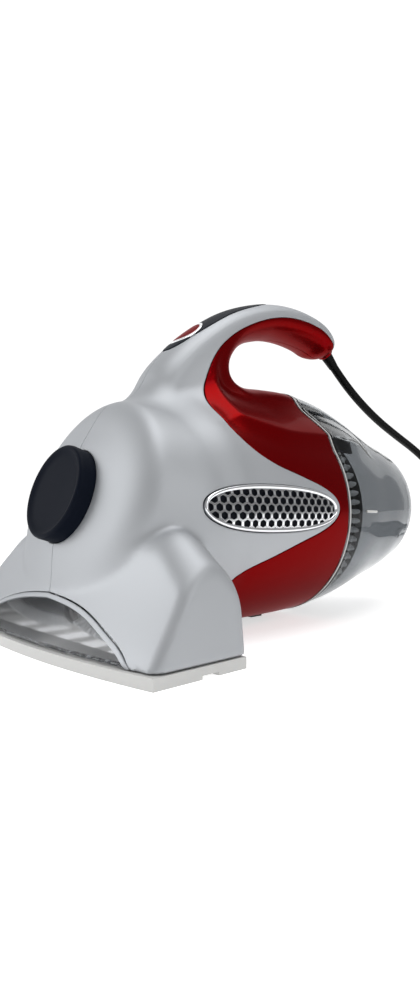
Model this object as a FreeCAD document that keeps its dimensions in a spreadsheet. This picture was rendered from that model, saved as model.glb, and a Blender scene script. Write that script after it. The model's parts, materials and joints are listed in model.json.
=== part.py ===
"""Corded handheld vacuum cleaner with a wide powered nozzle, a looped handle and a clear dust cup.

Millimetres. The nozzle faces -Y, +Z is up and X = 0 is the plane of symmetry of the body.
The origin lies on the floor under the middle of the body's length.
A "station" is a distance measured back from the nozzle's front lip.
"""
import FreeCAD, Part
import math
import os

import Sketcher
from FreeCAD import Placement, Rotation, Vector

doc = FreeCAD.newDocument("handheld_vacuum")
os.makedirs("parts", exist_ok=True)

# ------------------------------------------------------------------ driving dimensions
SIZES = {
    "half_length": 153.0,       # nozzle lip to origin, half of the body's length
    "wall": 2.4,                # moulded shells
    # barrel and boss
    "axis_height": 67.5,        # barrel axis above the floor at the seam
    "seam_station": 176.0,      # rear housing to dust cup
    "boss_tilt": 16.6,          # hose port axis, nose up, degrees
    "port_station": 18.3,       # centre of the cap's front face
    "port_height": 76.3,
    "cap_radius": 24.2,
    "cap_depth": 10.0,
    # nozzle
    "nozzle_half_width": 92.0,
    "nozzle_depth": 58.0,
    "nozzle_height": 59.0,
    "shoulder_height": 42.0,    # nozzle height at its sides
    "lip_bow": 8.8,             # the lip's ends lie this far behind its middle
    "plate_thickness": 4.9,
    "roll_station": 38.0,
    "roll_height": 17.0,
    "roll_radius": 7.5,
    "bristle_radius": 14.2,
    "roll_half_length": 80.0,
    # handle
    "button_station": 105.5,
    "button_height": 176.5,
    "button_slope": 38.8,       # slope of the handle's top under the button, degrees
    # motor, on an axis parallel to Y
    "shaft_radius": 2.5,
    "motor_radius": 34.0,
    "core_radius": 31.0,
    "armature_radius": 19.5,
    "fan_radius": 36.0,
    "inlet_radius": 17.0,
    "pulley_groove": 3.2,
    "roll_groove": 6.5,
    "belt_radius": 1.6,
    # dust cup and filter
    "cup_wall": 2.2,
    "filter_radius": 51.0,
    "filter_depth": 24.0,
    "pleats": 48.0,
    # badge on each side
    "badge_station": 110.5,
    "badge_height": 68.5,
    "badge_half_length": 50.5,
    "badge_half_height": 12.4,
    # cord
    "cord_diameter": 6.6,
    "coil_radius": 46.0,        # middle of the coil's turns
    "coil_turns_wide": 4.0,
    "coil_turns_high": 4.0,
}
sheet = doc.addObject("Spreadsheet::Sheet", "sizes")
for row, (alias, number) in enumerate(SIZES.items(), start=1):
    sheet.set("A%d" % row, alias.replace("_", " "))
    sheet.set("B%d" % row, repr(number))
    sheet.setAlias("B%d" % row, alias)
doc.recompute()


class Size:
    """A length with the formula that ties it to the sheet."""

    def __init__(self, formula, value):
        self.formula = formula
        self.value = float(value)

    def _join(self, sign, other, value):
        return Size("(%s %s %s)" % (self.formula, sign, other.formula), value)

    def __add__(self, other):
        other = size(other)
        return self._join("+", other, self.value + other.value)

    def __sub__(self, other):
        other = size(other)
        return self._join("-", other, self.value - other.value)

    def __mul__(self, other):
        other = size(other)
        return self._join("*", other, self.value * other.value)

    def __neg__(self):
        return Size("(0 - %s)" % self.formula, -self.value)


def size(item):
    """A Size from a sheet alias, a plain number or a Size."""
    if isinstance(item, Size):
        return item
    if isinstance(item, str):
        return Size("sizes." + item, sheet.get(item))
    return Size("%.4f" % item, item)


def number(alias):
    return float(sheet.get(alias))


def station(distance):
    """The Y coordinate of a distance back from the nozzle lip."""
    return size(distance) - size("half_length")


# ------------------------------------------------------------------ feature helpers
AXES = {
    "x": Rotation(Vector(0, 1, 0), 90),
    "y": Rotation(Vector(1, 0, 0), -90),
    "z": Rotation(),
}
nodes = []


def keep(obj, label):
    """Make an object a node of the part."""
    obj.Label = label
    nodes.append(obj)
    return obj


def bind(obj, **sizes_of):
    for prop, item in sizes_of.items():
        obj.setExpression(prop, size(item).formula)


def put(obj, x, y, z, rotation=None):
    """Place an object; its position follows the sheet."""
    rotation = rotation or Rotation()
    at = [size(x), size(y), size(z)]
    obj.Placement = Placement(Vector(*[item.value for item in at]), rotation)
    for axis, item in zip("xyz", at):
        obj.setExpression("Placement.Base." + axis, item.formula)
    return obj


def cylinder(name, radius, height, x, y, z, axis="y"):
    """A cylinder that starts at x, y, z and runs along +axis."""
    obj = doc.addObject("Part::Cylinder", name)
    bind(obj, Radius=radius, Height=height)
    return put(obj, x, y, z, AXES[axis])


def block(name, width, depth, height, x, y, z, rotation=None):
    """A box from its low corner."""
    obj = doc.addObject("Part::Box", name)
    bind(obj, Length=width, Width=depth, Height=height)
    return put(obj, x, y, z, rotation)


def cut(name, base, tool):
    obj = doc.addObject("Part::Cut", name)
    obj.Base = base
    obj.Tool = tool
    return obj


def fuse(name, *shapes):
    obj = doc.addObject("Part::MultiFuse", name)
    obj.Shapes = list(shapes)
    return obj


def group(name, *shapes):
    """Separate solids in one node."""
    obj = doc.addObject("Part::Compound", name)
    obj.Links = list(shapes)
    return obj


def ring(name, outer, inner, length, x, y, z, axis="y"):
    """A plain tube along +axis."""
    full = cylinder(name + "_outside", outer, length, x, y, z, axis)
    hole = cylinder(name + "_bore", inner, length, x, y, z, axis)
    return cut(name, full, hole)


def solid(name, shape):
    """A free-form solid from Part's own functions."""
    obj = doc.addObject("Part::Feature", name)
    obj.Shape = shape
    return obj


def body_sketch(body, plane, name):
    sketch = body.newObject("Sketcher::SketchObject", name)
    sketch.AttachmentSupport = [(role_of(body, plane), "")]
    sketch.MapMode = "FlatFace"
    return sketch


def role_of(body, role):
    return [item for item in body.Origin.OriginFeatures if item.Role == role][0]


def outline(sketch, points):
    """A closed outline whose corners are tied to the sheet; all coordinates are zero or more."""
    corners = [(size(a), size(b)) for a, b in points]
    count = len(corners)
    for i in range(count):
        ends = [Vector(p[0].value, p[1].value, 0) for p in (corners[i], corners[(i + 1) % count])]
        sketch.addGeometry(Part.LineSegment(*ends), False)
    for i in range(count):
        sketch.addConstraint(Sketcher.Constraint("Coincident", i, 2, (i + 1) % count, 1))
    for i, corner in enumerate(corners):
        for kind, axis, item in (("DistanceX", -2, corner[0]), ("DistanceY", -1, corner[1])):
            if abs(item.value) < 1e-9:
                sketch.addConstraint(Sketcher.Constraint("PointOnObject", i, 1, axis))
            else:
                place = Sketcher.Constraint(kind, -1, 1, i, 1, item.value)
                index = sketch.addConstraint(place)
                sketch.setExpression("Constraints[%d]" % index, item.formula)


def turned(name, profile, x, y, z, rotation):
    """A PartDesign revolution of (radius, height) corners about the local Z axis."""
    body = doc.addObject("PartDesign::Body", name)
    sketch = body_sketch(body, "XZ_Plane", name + "_profile")
    outline(sketch, profile)
    feature = body.newObject("PartDesign::Revolution", name + "_turn")
    feature.Profile = sketch
    feature.ReferenceAxis = (sketch, ["V_Axis"])
    feature.Angle = 360.0
    return put(body, x, y, z, rotation)


ALONG_Y = Rotation(Vector(1, 0, 0), -90)
PORT_AXIS = Vector(0, math.cos(math.radians(number("boss_tilt"))), -math.sin(math.radians(number("boss_tilt"))))
ALONG_PORT = Rotation(Vector(0, 0, 1), PORT_AXIS)


def port_point(distance):
    """Coordinates on the hose port's axis, a distance behind the cap's front face."""
    return (0.0, station("port_station") + distance * PORT_AXIS.y, size("port_height") + distance * PORT_AXIS.z)


# ------------------------------------------------------------------ free forms of the housing
LIP = -number("half_length")


def at(x, back, up):
    """A point from its station and height."""
    return Vector(x, LIP + back, up)


def spun(origin, axis, profile):
    """A solid of revolution from (distance, radius) pairs joined by a smooth curve."""
    side = axis.cross(Vector(1, 0, 0))
    points = [origin + axis * distance + side * radius for distance, radius in profile]
    curve = Part.BSplineCurve()
    curve.interpolate(points)
    first = origin + axis * profile[0][0]
    last = origin + axis * profile[-1][0]
    wire = Part.Wire([Part.makeLine(first, points[0]), curve.toShape(), Part.makeLine(points[-1], last)])
    face = Part.Face(Part.Wire(wire.Edges + [Part.makeLine(last, first)]))
    return face.revolve(origin, axis, 360)


def oval(back, up, half_height, half_width, angle):
    """A closed elliptical wire across the handle; angle is the section's tilt in degrees."""
    lean = math.radians(angle)
    long_way = Vector(0, -math.sin(lean), math.cos(lean))
    centre = at(0, back, up)
    steps = 12
    points = []
    for i in range(steps):
        turn = 2 * math.pi * i / steps
        points.append(centre + long_way * (half_height * math.cos(turn)) + Vector(half_width * math.sin(turn), 0, 0))
    curve = Part.BSplineCurve()
    curve.interpolate(points, PeriodicFlag=True)
    return Part.Wire([curve.toShape()])


# station, height, half height, half width and tilt of the handle's sections, from root to tip
HANDLE = [
    (112.0, 108.0, 58.0, 46.0, 88.0),
    (106.0, 132.0, 41.0, 30.0, 86.0),
    (103.0, 147.0, 29.5, 22.0, 85.0),
    (109.5, 159.0, 21.8, 18.5, 74.0),
    (121.0, 171.5, 15.0, 17.0, 56.0),
    (135.5, 183.0, 12.4, 16.5, 36.0),
    (154.0, 192.5, 11.9, 16.0, 20.0),
    (173.0, 197.6, 11.9, 16.0, 9.0),
    (192.0, 200.3, 12.2, 16.0, 2.0),
    (212.0, 200.4, 12.2, 16.0, -3.0),
    (226.0, 197.8, 11.8, 14.8, -12.0),
    (236.0, 194.8, 9.0, 11.5, -20.0),
    (241.5, 192.8, 4.0, 5.5, -24.0),
]
# station, half height and half width of the ridge on top of the barrel, centred on RIDGE_LEVEL
RIDGE_LEVEL = 108.0
RIDGE = [(118.0, 37.0, 30.0), (145.0, 38.6, 34.0), (180.0, 41.0, 37.0), (200.0, 39.0, 37.0)]
# the same ridge where it fades out on the dust cup
CUP_RIDGE = [(170.0, 41.0, 37.0), (185.0, 40.8, 37.0), (200.0, 39.0, 36.0), (216.0, 33.0, 32.0), (234.0, 20.0, 24.0)]
# distance behind the cap's face, radius of the boss
BOSS = [(8.5, 28.5), (12.0, 32.0), (18.0, 39.0), (26.0, 46.0), (36.0, 50.0), (50.0, 52.0)]
# station and radius of the barrel
BARREL = [(42.0, 48.0), (54.0, 57.0), (70.0, 61.8), (95.0, 65.0), (125.0, 66.4), (155.0, 66.8), (190.0, 66.8)]
# distance behind the seam, radius of the dust cup
CUP = [(0.4, 66.4), (20.0, 65.4), (45.0, 62.0), (75.0, 56.4), (100.0, 50.6), (117.0, 46.0), (126.0, 40.0), (130.0, 30.0)]
CUP_LIFT = 2.5     # the cup's axis rises towards the rear, degrees
# station and height along the line where the front housing meets the rear housing
PARTING = [
    (258.0, 191.0), (221.0, 198.8), (203.0, 200.5), (184.0, 199.4), (166.0, 195.1), (149.0, 188.5),
    (132.0, 179.0), (119.0, 169.0), (110.0, 159.0), (103.0, 147.0), (97.0, 134.0), (93.0, 121.0),
    (95.5, 109.0), (103.0, 100.0), (115.0, 92.5), (132.0, 87.5), (146.0, 83.0), (157.0, 79.0),
    (163.0, 74.0), (165.0, 68.0), (161.5, 62.0), (151.0, 56.5), (130.0, 50.0), (112.0, 43.0),
    (95.0, 35.5), (80.0, 27.0), (67.0, 15.0), (60.0, -6.0),
]


def nozzle_block(inset):
    """The nozzle's body: a bowed lip, sloped front, arched top and rounded shoulders."""
    half = number("nozzle_half_width") - inset
    back = number("nozzle_depth") - inset
    peak = number("nozzle_height") - inset
    side = number("shoulder_height") - inset
    low = number("plate_thickness")
    bow = number("lip_bow")
    profile = [(inset, low), (8.0 + inset, 16.0), (16.5 + inset, 28.0), (23.0 + inset, 44.0)]
    sections = []
    for across in (-1.0, -0.8, -0.4, 0.0, 0.4, 0.8, 1.0):
        shift = bow * across * across
        crest = peak - (peak - side) * max(0.0, (abs(across) - 0.45) / 0.55) ** 2
        squeeze = (crest - low) / (peak - low)
        x = across * half
        front = [at(x, shift + y, low + (z - low) * squeeze) for y, z in profile]
        top = [at(x, shift * 0.7 + 33.0 + inset, crest), at(x, back - 7.0, crest - 1.5), at(x, back, crest - 14.0)]
        foot = at(x, back, low)
        curve = Part.BSplineCurve()
        curve.interpolate(front + top)
        edges = [curve.toShape(), Part.makeLine(top[-1], foot), Part.makeLine(foot, front[0])]
        sections.append(Part.Wire(edges))
    return Part.makeLoft(sections, True, False)


def ridge_loft(sections, inset):
    wires = [oval(b, RIDGE_LEVEL, h - inset, w - inset, 0.0) for b, h, w in sections]
    return Part.makeLoft(wires, True, False)


def body_form(inset):
    """The whole housing as a solid, inset inside its outer surface."""
    start = at(0, number("port_station"), number("port_height"))
    boss = spun(start, PORT_AXIS, [(along + inset, radius - inset) for along, radius in BOSS])
    axis_point = at(0, 0, number("axis_height"))
    barrel = spun(axis_point, Vector(0, 1, 0), [(along, radius - inset) for along, radius in BARREL])
    grip = [oval(b, u, h - inset, w - inset, a) for b, u, h, w, a in HANDLE if h > inset + 2.0]
    handle = Part.makeLoft(grip, True, False)
    return boss.fuse([barrel, handle, ridge_loft(RIDGE, inset), nozzle_block(inset)])


def cup_form(inset):
    """The dust cup as a solid with its latch ridge."""
    lift = math.radians(CUP_LIFT)
    axis = Vector(0, math.cos(lift), math.sin(lift))
    start = at(0, number("seam_station"), number("axis_height"))
    profile = [(along - (inset if along > 110 else 0.0), radius - inset) for along, radius in CUP]
    return spun(start, axis, profile).fuse(ridge_loft(CUP_RIDGE, inset))


def side_prism(points, closing, half_width):
    """A side-view outline, a smooth curve closed by straight edges, run across the whole width."""
    path = [at(-half_width, back, up) for back, up in points]
    corners = [at(-half_width, back, up) for back, up in closing]
    curve = Part.BSplineCurve()
    curve.interpolate(path)
    ends = [path[-1]] + corners + [path[0]]
    lines = [Part.makeLine(a, b) for a, b in zip(ends, ends[1:])]
    return Part.Face(Part.Wire([curve.toShape()] + lines)).extrude(Vector(2 * half_width, 0, 0))


def slab(front, back, low=-20.0, high=240.0, half_width=120.0):
    """A box across the body between two stations and two heights."""
    return Part.makeBox(2 * half_width, back - front, high - low, at(-half_width, front, low))


def rod(radius, start, axis, length):
    return Part.makeCylinder(radius, length, start, axis)


def half_space(sign):
    """Everything on one side of the plane of symmetry."""
    reach = 400.0
    return Part.makeBox(reach, 2 * reach, reach, Vector(0 if sign > 0 else -reach, -reach, -50))


WALL = number("wall")
SEAM = number("seam_station")
AXLE = number("axis_height")
Y_AXIS = Vector(0, 1, 0)
X_AXIS = Vector(1, 0, 0)
PORT = at(0, number("port_station"), number("port_height"))
DUCT_HALF = 18.0
DUCT_LOW, DUCT_HIGH = 12.5, 26.5
RIB_STATIONS = (90.0, 130.0)
MOUNT_RADIUS = number("motor_radius") + 4.0

outer = body_form(0.0)
inner = body_form(WALL)

# the bores and windows of the housing
BADGE_CENTRE = at(0, number("badge_station"), number("badge_height"))
BUTTON = at(0, number("button_station"), number("button_height"))
SLOPE = math.radians(number("button_slope"))
PRESS = Vector(0, math.sin(SLOPE), -math.cos(SLOPE))


def long_oval(half_length, half_height, half_width, centre):
    """An upright elliptical cylinder along X, its long axis along Y."""
    ellipse = Part.Ellipse(Vector(0, 0, 0), half_length, half_height)
    face = Part.Face(Part.Wire([ellipse.toShape()]))
    prism = face.extrude(Vector(0, 0, half_width))
    prism.Placement = Placement(centre, Rotation(Vector(0, 1, 0), Vector(0, 0, 1), Vector(1, 0, 0), "ZXY"))
    return prism


def button_prism(half_length, half_width, start, depth):
    """An elliptical cylinder along the button's stroke, start above the handle and depth long."""
    ellipse = Part.Ellipse(Vector(0, 0, 0), half_length, half_width)
    face = Part.Face(Part.Wire([ellipse.toShape()]))
    prism = face.extrude(Vector(0, 0, depth))
    along = Vector(0, math.cos(SLOPE), math.sin(SLOPE))
    turn = Rotation(along, PRESS.cross(along), PRESS, "ZXY")
    prism.Placement = Placement(BUTTON - PRESS * start, turn)
    return prism


def barrel_skin(outside, inside):
    """A skin of the barrel between two insets; negative is outwards."""
    foot = at(0, 0, AXLE)
    whole = spun(foot, Y_AXIS, [(along, radius - outside) for along, radius in BARREL])
    return whole.cut(spun(foot, Y_AXIS, [(along, radius - inside) for along, radius in BARREL]))


SCREEN_POCKET = barrel_skin(WALL + 0.05, WALL + 1.3)


def window_prism(shrink):
    """The arch of the nozzle window, run back through the front wall."""
    half = 77.0 - shrink
    crown = number("plate_thickness") + 22.5 - shrink
    arc = Part.Arc(Vector(-half, LIP - 5, number("plate_thickness")), Vector(0, LIP - 5, crown),
                   Vector(half, LIP - 5, number("plate_thickness")))
    base = Part.makeLine(Vector(half, LIP - 5, number("plate_thickness")),
                         Vector(-half, LIP - 5, number("plate_thickness")))
    return Part.Face(Part.Wire([arc.toShape(), base])).extrude(Vector(0, 32, 0))


def pad_prism(half_length, half_width):
    """The grip pad's outline seen from above, run up through the handle."""
    ellipse = Part.Ellipse(Vector(0, 0, 0), half_length, half_width)
    face = Part.Face(Part.Wire([ellipse.toShape()]))
    prism = face.extrude(Vector(0, 0, 80))
    prism.Placement = Placement(at(0, 130.0, 150.0), Rotation(Vector(0, 0, 1), 90))
    return prism


# station and height of the screws that hold the two halves together, and of the plate's screws
CASE_SCREWS = [(80.0, 112.0), (153.0, 120.0), (104.0, 148.0), (190.0, 194.5)]
PLATE_SCREWS = [(-84.0, 23.5), (-84.0, 50.5), (84.0, 23.5), (84.0, 50.5)]
SCREW_END, SCREW_HEAD = 10.0, -8.0      # along X: threaded end and underside of the head


def plain_screw(start, axis, length, shank=1.5, head=3.0, head_height=2.0):
    """A screw from the underside of its head along axis."""
    shaft = rod(shank, start, axis, length)
    return shaft.fuse(rod(head, start - axis * head_height, axis, head_height))


def housing_shell():
    """The hollow housing with its ribs, screw bosses, bores and windows."""
    features = []
    for place in RIB_STATIONS:
        rib = slab(place, place + 4.0, -20.0, 130.0).cut(rod(MOUNT_RADIUS, at(0, place, AXLE), Y_AXIS, 4.0))
        rib = rib.cut(slab(place, place + 4.0, -20.0, DUCT_HIGH + 0.5, DUCT_HALF + 0.5))
        features.append(rib.common(inner))
    for back, up in CASE_SCREWS:
        features.append(rod(4.6, at(-90.0, back, up), X_AXIS, 180.0).common(inner))
    for x, back in PLATE_SCREWS:
        features.append(rod(3.6, at(x, back, number("plate_thickness")), Vector(0, 0, 1), 14.0).common(inner))
    cutters = [
        rod(number("cap_radius") + 0.4, PORT - PORT_AXIS * 5.0, PORT_AXIS, 31.0),
        window_prism(0.0),
        button_prism(13.3, 9.3, 12.0, 20.0),
        pad_prism(43.0, 11.6).common(outer.cut(body_form(1.5))),
        slab(SEAM, 330.0, -20.0, 152.0),
        rod(5.0, GLAND - GLAND_AXIS * 13.0, GLAND_AXIS, 40.0),
        rod(6.7, GLAND + GLAND_AXIS * 0.8, GLAND_AXIS, 20.0),
    ]
    for sign in (-1, 1):
        cutters.append(long_oval(42.5, 9.5, sign * 100.0, BADGE_CENTRE))
        cutters.append(SCREEN_POCKET.common(long_oval(44.2, 11.0, sign * 100.0, BADGE_CENTRE)))
    for back, up in CASE_SCREWS:
        cutters.append(rod(1.5, at(SCREW_HEAD, back, up), X_AXIS, SCREW_END - SCREW_HEAD))
        cutters.append(rod(3.2, at(-100.0, back, up), X_AXIS, 100.0 + SCREW_HEAD))
    for x, back in PLATE_SCREWS:
        cutters.append(rod(1.5, at(x, back, 0), Vector(0, 0, 1), 14.0))
    return outer.cut(inner).fuse(features).cut(cutters)


GLAND = at(0, 241.0, 194.6)
GLAND_FALL = math.radians(37.0)
GLAND_AXIS = Vector(0, math.cos(GLAND_FALL), -math.sin(GLAND_FALL))

shell = housing_shell()
front_zone = side_prism(PARTING, [(-30.0, -6.0), (-30.0, 235.0), (258.0, 235.0)], 110.0)
spigot_start = at(0, SEAM - 10.0, AXLE)
spigot = rod(62.6, spigot_start, Y_AXIS, 16.0).fuse(rod(64.8, spigot_start, Y_AXIS, 5.0))
spigot = spigot.cut(rod(60.4, spigot_start, Y_AXIS, 16.0))
front = shell.common(front_zone)
rear = shell.cut(front_zone).fuse(spigot)
for side, sign in (("left", -1), ("right", 1)):
    for family, shape in (("front_housing_", front), ("rear_housing_", rear)):
        keep(solid(family + side, shape.common(half_space(sign))), family + side)

# ------------------------------------------------------------------ handle: pad, bezel, button, switch
pad = pad_prism(42.6, 11.2).common(outer).cut(body_form(1.4)).cut(button_prism(13.4, 9.4, 14.0, 30.0))
keep(solid("pad_form", pad), "grip_pad")
bezel = button_prism(13.2, 9.2, 1.0, 5.5).cut(button_prism(11.0, 7.0, 2.0, 8.0))
bezel = bezel.cut(body_form(WALL + 0.2))
keep(solid("bezel_form", bezel), "button_bezel")
keep(solid("button_form", button_prism(10.7, 6.7, 2.2, 7.0)), "power_button")
switch_turn = Rotation(X_AXIS, Vector(0, math.cos(SLOPE), math.sin(SLOPE)), -PRESS, "ZXY")
switch_at = BUTTON + PRESS * 19.0 - Vector(7, 0, 0) - Vector(0, math.cos(SLOPE), math.sin(SLOPE)) * 10.0
switch = doc.addObject("Part::Box", "switch_box")
bind(switch, Length=14.0, Width=20.0, Height=8.0)
switch.Placement = Placement(switch_at, switch_turn)
keep(switch, "switch_body")
spring = rod(3.4, BUTTON + PRESS * 4.9, PRESS, 6.0).cut(rod(2.6, BUTTON + PRESS * 4.9, PRESS, 6.0))
keep(solid("button_spring_form", spring), "button_spring")

# ------------------------------------------------------------------ hose port
cap_profile = [
    (0, 0), (size("cap_radius") - 2.0, 0), ("cap_radius", 2.0), ("cap_radius", "cap_depth"),
    (21.5, "cap_depth"), (21.5, 18.0), (19.5, 18.0), (19.5, 3.0), (0, 3.0),
]
keep(turned("cap_form", cap_profile, *port_point(0.0), ALONG_PORT), "port_cap")
keep(turned("seal_form", [(21.55, 0), (21.9, 0), (21.9, 2.0), (21.55, 2.0)], *port_point(13.0), ALONG_PORT), "port_seal")
sleeve_profile = [(22.0, 0), (24.5, 0), (24.5, 10.5), (22.0, 10.5)]
keep(turned("sleeve_form", sleeve_profile, *port_point(10.5), ALONG_PORT), "port_sleeve")

# ------------------------------------------------------------------ nozzle
window = window_prism(0.4).common(nozzle_block(0.0)).cut(nozzle_block(2.0))
keep(solid("window_form", window), "nozzle_window")

half = size("nozzle_half_width")
plate_box = block("plate_box", half + half, "nozzle_depth", "plate_thickness", -half, station(0), 0)
bow_radius = (number("nozzle_half_width") ** 2 + number("lip_bow") ** 2) / (2 * number("lip_bow"))
bow = cylinder("plate_bow", bow_radius, "plate_thickness", 0, station(bow_radius), 0, "z")
bowed = doc.addObject("Part::Common", "plate_bowed")
bowed.Base = plate_box
bowed.Tool = bow
slot = block("plate_slot", 148.0, 30.0, 20.0, -74.0, station(20.0), -5.0)
notches = [block("plate_notch_%d" % i, 12.0, 9.0, 2.0, x, station(33.0), -0.5) for i, x in enumerate((-98.0, 86.0))]
holes = []
for i, (x, back) in enumerate(PLATE_SCREWS):
    holes.append(cylinder("plate_hole_%d" % i, 1.7, 20.0, x, station(back), -5.0, "z"))
    holes.append(cylinder("plate_sink_%d" % i, 3.2, 3.0, x, station(back), -0.2, "z"))
bars = [block("plate_bar_%d" % i, 2.2, 30.0, 2.0, x - 1.1, station(20.0), 0) for i, x in
        enumerate((-50.0, -25.0, 0.0, 25.0, 50.0))]
plate = fuse("plate_form", cut("plate_cut", bowed, fuse("plate_tools", slot, *(notches + holes))), *bars)
keep(plate, "base_plate")
plate_screws = []
for i, (x, back) in enumerate(PLATE_SCREWS):
    shank = cylinder("plate_shank_%d" % i, 1.5, 11.0, x, station(back), 2.6, "z")
    head = cylinder("plate_head_%d" % i, 3.0, 2.0, x, station(back), 0.6, "z")
    plate_screws.append(fuse("plate_screw_%d" % i, shank, head))
keep(group("plate_screw_set", *plate_screws), "plate_screws")
case_screws = [solid("case_screw_%d" % i, plain_screw(at(SCREW_HEAD, b, u), X_AXIS, SCREW_END - SCREW_HEAD))
               for i, (b, u) in enumerate(CASE_SCREWS)]
keep(group("case_screw_set", *case_screws), "housing_screws")
heel = Part.makeBox(30, 16, 4.0, at(-15, 148.0, 0)).cut(outer)
keep(solid("heel_form", heel), "heel_pad")

# ------------------------------------------------------------------ brush roll and belt
roll = number("roll_radius")
groove = number("roll_groove")
long = size("roll_half_length")
core_profile = [
    (0, 0), ("roll_radius", 0), ("roll_radius", long - 5.0), ("roll_groove", long - 4.0),
    ("roll_groove", long + 4.0), ("roll_radius", long + 5.0), ("roll_radius", long + long), (0, long + long),
]
keep(turned("core_form", core_profile, -long, station("roll_station"), "roll_height", AXES["x"]), "brush_core")
tufts = []
TUFT_PITCH = 7.0
for row in range(2):
    for i in range(-9, 10):
        if i == 0:
            continue
        lean = math.radians(18.0 * i + 180.0 * row)
        out = Vector(0, math.cos(lean), math.sin(lean))
        root = at(i * TUFT_PITCH, number("roll_station"), number("roll_height")) + out * (roll - 1.0)
        tufts.append(solid("tuft_%d_%d" % (row, i + 9), rod(1.7, root, out, number("bristle_radius") - roll + 1.0)))
keep(group("tuft_set", *tufts), "brush_bristles")
stubs = []
for side, x in (("left", -87.5), ("right", 80.0)):
    stubs.append(cylinder("stub_" + side, 2.0, 7.5, x, station("roll_station"), "roll_height", "x"))
    start = x if side == "left" else x + 2.5
    race = ring("bearing_" + side, 5.5, 2.06, 5.0, start, station("roll_station"), "roll_height", "x")
    keep(race, "brush_bearing_" + side)
keep(group("stub_set", *stubs), "brush_axles")

PULLEY_STATION = 55.0
belt = number("belt_radius")
loop_top = number("pulley_groove") + belt + 0.06
loop_low = groove + belt + 0.06
pulley_centre = at(0, PULLEY_STATION, AXLE)
roll_centre = at(0, number("roll_station"), number("roll_height"))


def belt_arc(middle, radius, across, up, first, last):
    """Round belt bent about a centre, between two angles in degrees in the plane of across and up."""
    def rim(degrees):
        turn = math.radians(degrees)
        return middle + (across * math.cos(turn) + up * math.sin(turn)) * radius

    lean = math.radians(first + 90.0)
    heading = across * math.cos(lean) + up * math.sin(lean)
    arc = Part.Arc(rim(first), rim((first + last) / 2), rim(last))
    start = Part.Wire([Part.makeCircle(belt, rim(first), heading)])
    return Part.Wire([arc.toShape()]).makePipeShell([start], True, False), rim(first), rim(last)


UP = Vector(0, 0, 1)
run = pulley_centre - roll_centre
rise = math.degrees(math.atan2(run.z, run.y))
open_low = math.degrees(math.acos(loop_low / run.Length))
open_top = math.degrees(math.asin(loop_top / run.z))
upper, top_first, top_last = belt_arc(pulley_centre, loop_top, X_AXIS, UP, -open_top, 180.0 + open_top)
lower, low_first, low_last = belt_arc(roll_centre, loop_low, Y_AXIS, UP, rise + open_low, rise - open_low + 360.0)
strands = []
for high, low in ((top_first, low_first), (top_last, low_last)):
    strands.append(rod(belt, low, (high - low).normalize(), high.distanceToPoint(low)))
    strands += [Part.makeSphere(belt * 1.03, point) for point in (high, low)]
keep(solid("belt_form", upper.fuse([lower] + strands)), "drive_belt")

# ------------------------------------------------------------------ motor, fan and air path
centre = size("axis_height")
FLANGE = 5.0                    # low enough for the turned belt to leave the groove sideways
pulley_profile = [
    (2.52, 0), (FLANGE, 0), (FLANGE, 1.6), ("pulley_groove", 3.0),
    ("pulley_groove", 7.0), (FLANGE, 8.4), (FLANGE, 10.0), (2.52, 10.0),
]
keep(turned("pulley_form", pulley_profile, 0, station(50.0), centre, ALONG_Y), "motor_pulley")
keep(cylinder("shaft_form", "shaft_radius", 114.0, 0, station(47.0), centre), "motor_shaft")


def sleeve_on_axis(label, outer_radius, inner_radius, start, length):
    return keep(ring(label + "_form", outer_radius, inner_radius, length, 0, station(start), centre), label)


hub = size("shaft_radius") + 0.02
sleeve_on_axis("motor_armature", "armature_radius", hub, 96.0, 28.0)
sleeve_on_axis("commutator", 10.0, hub, 128.0, 10.0)
sleeve_on_axis("motor_core", "core_radius", size("armature_radius") + 0.6, 94.0, 32.0)
sleeve_on_axis("motor_case", "motor_radius", size("core_radius") + 0.1, 84.0, 58.0)
windings = [ring("winding_%d" % i, 29.0, 20.5, 3.0, 0, station(y), centre) for i, y in enumerate((90.8, 126.2))]
keep(group("winding_set", *windings), "field_windings")
for label, place, depth in (("motor_frame_front", 80.0, 4.0), ("motor_frame_rear", 142.0, 3.0)):
    sleeve_on_axis(label, "motor_radius", 6.6, place, depth)
for label, place in (("motor_bearing_front", 79.5), ("motor_bearing_rear", 141.5)):
    sleeve_on_axis(label, 6.5, size("shaft_radius") + 0.05, place, 5.0)
mount_rings = [ring("mount_%d" % i, MOUNT_RADIUS, "motor_radius", 8.0, 0, station(y), centre)
               for i, y in enumerate((88.0, 128.0))]
keep(group("mount_set", *mount_rings), "motor_mounts")
carbons, holders = [], []
for i, x in enumerate((-20.0, 10.3)):
    carbons.append(block("carbon_%d" % i, 9.7, 5.0, 5.0, x, station(131.0), centre - 2.5))
for i, x in enumerate((-28.0, 12.0)):
    case = block("holder_case_%d" % i, 16.0, 8.0, 8.0, x, station(132.0 - 2.5), centre - 4.0)
    hollow = block("holder_hollow_%d" % i, 40.0, 5.2, 5.2, x - 12.0, station(132.0 - 1.1), centre - 2.6)
    holders.append(cut("holder_%d" % i, case, hollow))
keep(group("carbon_set", *carbons), "carbon_brushes")
keep(group("holder_set", *holders), "brush_holders")


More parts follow.
